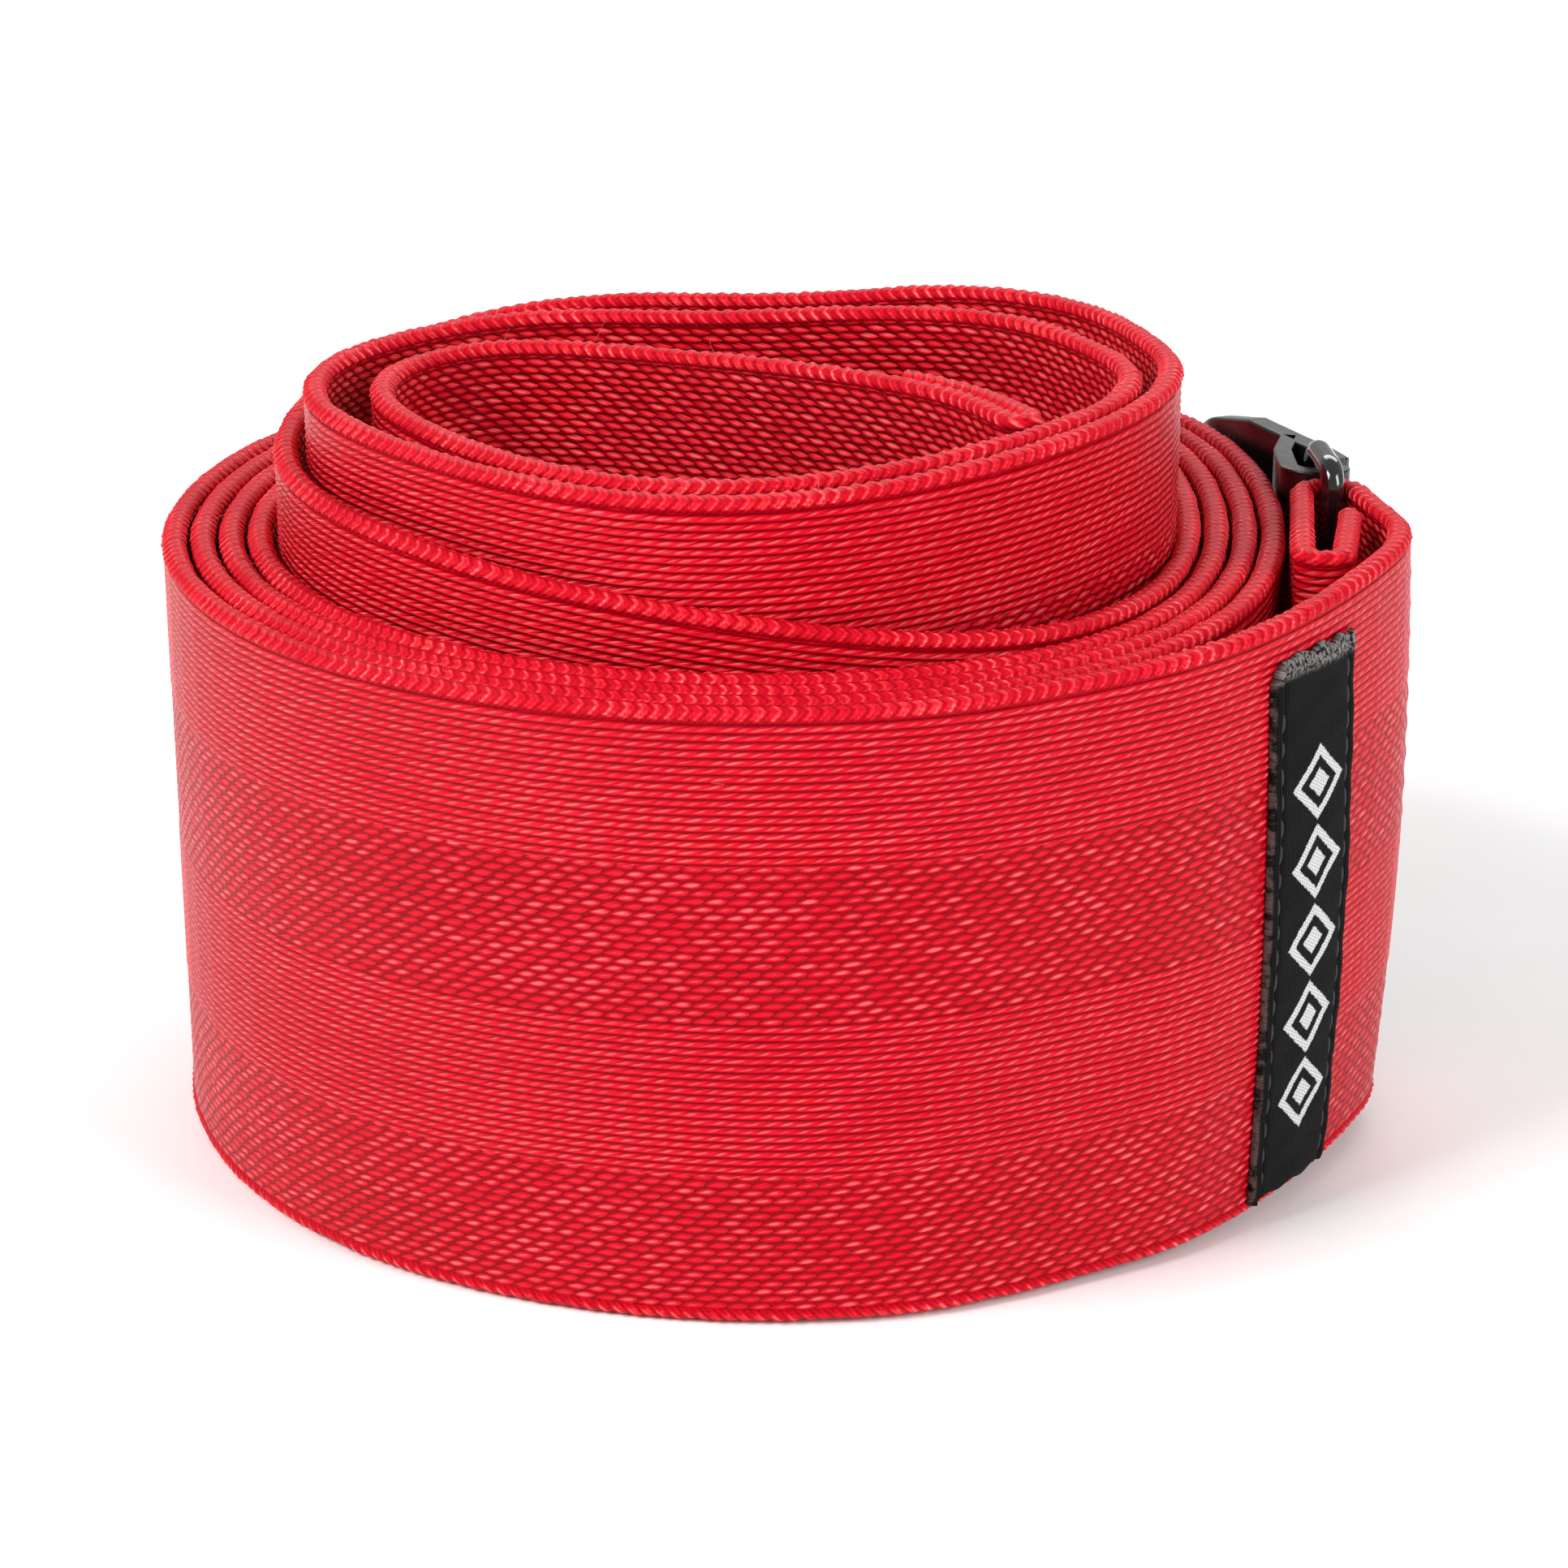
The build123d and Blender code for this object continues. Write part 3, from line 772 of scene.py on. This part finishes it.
# The loop's seam is a box of stitches, and the hem's is two rows across the webbing.
low, high = SEAM_INSET, WIDTH - SEAM_INSET
left, right = s_loop - 1.0, s_loop + 5.0
box = (
    (left, low, right, low), (left, high, right, high),
    (left, low, left, high), (right, low, right, high),
)
loop_seam = [stitch for line in box for stitch in seam(*line, 0.9)]
loop_stitching = build_stitches(
    "loop_stitches", loop_seam, LOOP_THREAD, red_thread, "loop_stitching")
hem_rows = [s_hem + HEM - 3, s_hem + HEM - 5.4]
hem_seam = [stitch for row in hem_rows for stitch in seam(row, low, row, high, HEM_PITCH + 0.98)]
hem_stitching = build_stitches(
    "hem_stitches", hem_seam, HEM_THREAD, red_thread, "hem_stitching")


# ---------------------------------------------------------------- wire ring
RING_AXIS = np.array([49.75, 1.2]) + ROLL
PLATE_AXIS = np.array([49.2, 9.0]) + ROLL
RING_HEIGHT = 55.2
WIRE = 1.0  # the wire's radius


def build_ring():
    """An upright rectangle of round wire, one side in the webbing's loop and one in the plate's hook."""
    reach = np.linalg.norm(PLATE_AXIS - RING_AXIS)
    out = (PLATE_AXIS - RING_AXIS) / reach
    low, high = WIRE, RING_HEIGHT - WIRE
    corners = [(reach / 2, low), (0, low), (0, high), (reach, high), (reach, low), (reach / 2, low)]
    path = rounded(corners, [1.6, 1.6, 2.0, 2.0], 0.35)[:-1]
    flat = np.concatenate([RING_AXIS + path[:, :1] * out, path[:, 1:]], axis=1)
    along = np.roll(flat, -1, axis=0) - np.roll(flat, 1, axis=0)
    along /= np.linalg.norm(along, axis=1)[:, None]
    side = np.array([out[1], -out[0], 0.0])
    other = np.cross(along, side)
    around = 28
    a = np.linspace(0, 2 * math.pi, around, endpoint=False)[None, :, None]
    grid = flat[:, None, :] + WIRE * (np.cos(a) * side + np.sin(a) * other[:, None, :])
    faces = tube_faces(len(flat), around, closed=True)
    piece = make_piece("bent_wire_ring", grid, faces, "ring", wire_finish())
    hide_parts("wire_ring")


build_ring()


# ---------------------------------------------------------------- clamp plate
PLATE_TOP = 52.7
PLATE_CORNER = 6.0
HOOK_LOW = 2.5


def slab(path, half, low, high, rounding):
    """An upright strip along a plan path, with rounded edges.

    half, low and high hold one number to a point. It returns the vertices, the faces, and for each
    vertex 1 on the top and bottom edges and 0 elsewhere.
    """
    n = plan_normals(path)
    vertices, edge = [], []
    arc = np.linspace(0, math.pi / 2, 5)
    for i in range(len(path)):
        h, r = half[i], min(rounding, half[i] * 0.98)
        centres = ((h - r, high[i] - r), (r - h, high[i] - r), (r - h, low[i] + r), (h - r, low[i] + r))
        for corner, (centre_off, centre_z) in enumerate(centres):
            for a in arc:
                t = a + corner * math.pi / 2
                off, z = centre_off + r * math.cos(t), centre_z + r * math.sin(t)
                vertices.append((path[i, 0] + n[i, 0] * off, path[i, 1] + n[i, 1] * off, z))
                edge.append(1.0 if abs(math.sin(t)) > 0.8 else 0.0)
    return vertices, tube_faces(len(path), len(arc) * 4), edge


def build_plate():
    """A curved plate that hugs the roll, with a hook along its near edge for the ring's far side."""
    middle = through([
        (51.6, 10.2), (50.5, 13.2), (49.0, 16.2), (47.3, 19.7), (45.7, 23.2), (44.7, 26.2), (43.4, 29.8),
        (42.3, 33.2), (41.8, 35.2)], 0.3) + ROLL
    run = lengths(middle)
    end = run[-1]
    high = np.interp(run, [0, end - 13, end], [PLATE_TOP, PLATE_TOP, 49.6])
    low = RING_HEIGHT - high
    corner = np.clip((run - (end - PLATE_CORNER)) / PLATE_CORNER, 0, 1)
    drop = PLATE_CORNER * (1 - np.sqrt(np.maximum(1 - corner ** 2, 0.0)))
    high, low = high - drop, low + drop
    taper = np.minimum(run / 0.35, (end - run) / 0.35)
    half = 0.95 * np.sqrt(1 - (1 - np.clip(taper, 0, 1)) ** 2 * 0.75)
    v1, f1, e1 = slab(middle, half, low, high, 0.28)
    hook_corners = [(48.0, 17.6), (46.95, 13.5), (46.95, 6.95), (51.35, 6.95), (51.35, 8.3)]
    hook = rounded(hook_corners, [3.0, 1.9, 1.2], 0.25) + ROLL
    hook_run = lengths(hook)
    tip = np.clip((hook_run[-1] - hook_run) / 0.4, 0, 1)
    hook_half = 0.8 * np.sqrt(1 - (1 - tip) ** 2 * 0.8)
    hook_low, hook_high = np.full(len(hook), HOOK_LOW), np.full(len(hook), PLATE_TOP)
    v2, f2, e2 = slab(hook, hook_half, hook_low, hook_high, 0.22)
    faces = f1 + [tuple(k + len(v1) for k in face) for face in f2]
    piece = make_piece(
        "clamp_plate_casting", v1 + v2, faces, "plate", plate_finish(),
        attributes={"cut_edge": e1 + e2})
    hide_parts("clamp_plate")


build_plate()


# ---------------------------------------------------------------- stray fibres at the selvedges
def build_fibres(count):
    """Thin curved hairs, most of them on the upper selvedge."""
    vertices, faces = [], []
    points, around = 9, 3
    for _ in range(count):
        start = random.uniform(30, LENGTH - 12)
        upper_edge = random.random() < 0.7
        across = WIDTH - 0.4 if upper_edge else random.uniform(4, WIDTH - 4)
        root = at(start, across, random.uniform(-0.6, 0.6) if upper_edge else 0.9)
        out = outward(start)
        way = np.array([random.gauss(0, 1), random.gauss(0, 1), 0.5 if upper_edge else 0.0])
        way = way + out * 0.5
        way /= np.linalg.norm(way)
        curl = np.array([random.gauss(0, 1), random.gauss(0, 1), random.gauss(0, 0.6)])
        reach = random.uniform(0.7, 2.2)
        base = len(vertices)
        for i in range(points):
            q = i / (points - 1)
            place = root + way * reach * q + curl * reach * 0.28 * q * q
            place = place + 0.08 * np.array([math.sin(7 * q + start), math.cos(6 * q + start), 0]) * q
            place[2] = max(place[2], 0.05)
            size = 0.022 * (1 - 0.6 * q)
            for k in range(around):
                a = 2 * math.pi * k / around
                vertices.append(place + np.array([math.cos(a), 0.3 * math.sin(a), math.sin(a)]) * size)
        faces += tube_faces(points, around, offset=base)
    fibre_red = thread_finish("fibre_red", (0.55, 0.03, 0.045), (0.86, 0.2, 0.2), 0.5)
    piece = make_piece("stray_fibres", vertices, faces, "strap", fibre_red)
    return piece


fibres = build_fibres(90)

# ---------------------------------------------------------------- floor, lights and camera
FLOOR = 4.0  # half its side, in metres
SKY_STRENGTH = 0.45
AIM = Vector((0, 0, 0.03))
SENSOR = 36.0
FOCAL, IMAGE_WIDTH = 5130, 1932  # the focal length and the image's width, in the same unit
CAMERA_X, CAMERA_Y, CAMERA_Z = 3.7, -334.3, 154.3  # from the roll's centre, on the floor
CAMERA_PITCH = 20.9  # degrees down

floor_mesh = bpy.data.meshes.new("floor")
floor_corners = [(-FLOOR, -FLOOR, 0), (FLOOR, -FLOOR, 0), (FLOOR, FLOOR, 0), (-FLOOR, FLOOR, 0)]
floor_mesh.from_pydata(floor_corners, [], [(0, 1, 2, 3)])
floor = bpy.data.objects.new("floor", floor_mesh)
bpy.context.scene.collection.objects.link(floor)
paper = Finish("pale_paper", Roughness=0.75, Specular_IOR_Level=0.2)
grain = paper.noise(paper.place(), 60.0, 3.0)
paper_white = paper.colours(grain, [(0.3, (0.89, 0.89, 0.89)), (0.7, (0.91, 0.91, 0.91))])
floor_mesh.materials.append(paper.finish(paper_white, None, grain, 0.00002))
floor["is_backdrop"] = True

world = bpy.data.worlds.new("studio")
bpy.context.scene.world = world
world.use_nodes = True
sky = world.node_tree.nodes["Background"]
sky.inputs["Color"].default_value = (1.0, 1.0, 1.0, 1)
sky.inputs["Strength"].default_value = SKY_STRENGTH


def soft_light(name, place, size, watts):
    data = bpy.data.lights.new(name, "AREA")
    data.shape = "RECTANGLE"
    data.size, data.size_y = size
    data.energy = watts
    lamp = bpy.data.objects.new(name, data)
    lamp.location = place
    lamp.rotation_euler = (AIM - Vector(place)).to_track_quat("-Z", "Y").to_euler()
    bpy.context.scene.collection.objects.link(lamp)


soft_light("key", (-0.62, -0.35, 0.62), (0.45, 0.45), 8.0)
soft_light("fill", (0.75, -0.55, 0.5), (0.4, 0.6), 6.5)
soft_light("back", (0.15, 0.75, 0.6), (0.9, 0.4), 4.0)

camera_data = bpy.data.cameras.new("camera")
camera = bpy.data.objects.new("camera", camera_data)
bpy.context.scene.collection.objects.link(camera)
camera_data.sensor_width = SENSOR
camera_data.lens = SENSOR * FOCAL / IMAGE_WIDTH
camera_data.clip_start, camera_data.clip_end = 0.02, 20.0
camera.location = ((CAMERA_X + ROLL[0]) * MM, (CAMERA_Y + ROLL[1]) * MM, CAMERA_Z * MM)
camera.rotation_euler = (math.radians(90 - CAMERA_PITCH), 0, 0)
bpy.context.scene.camera = camera
bpy.context.scene.view_settings.view_transform = "Standard"
bpy.context.scene.view_settings.look = "None"

low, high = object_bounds()
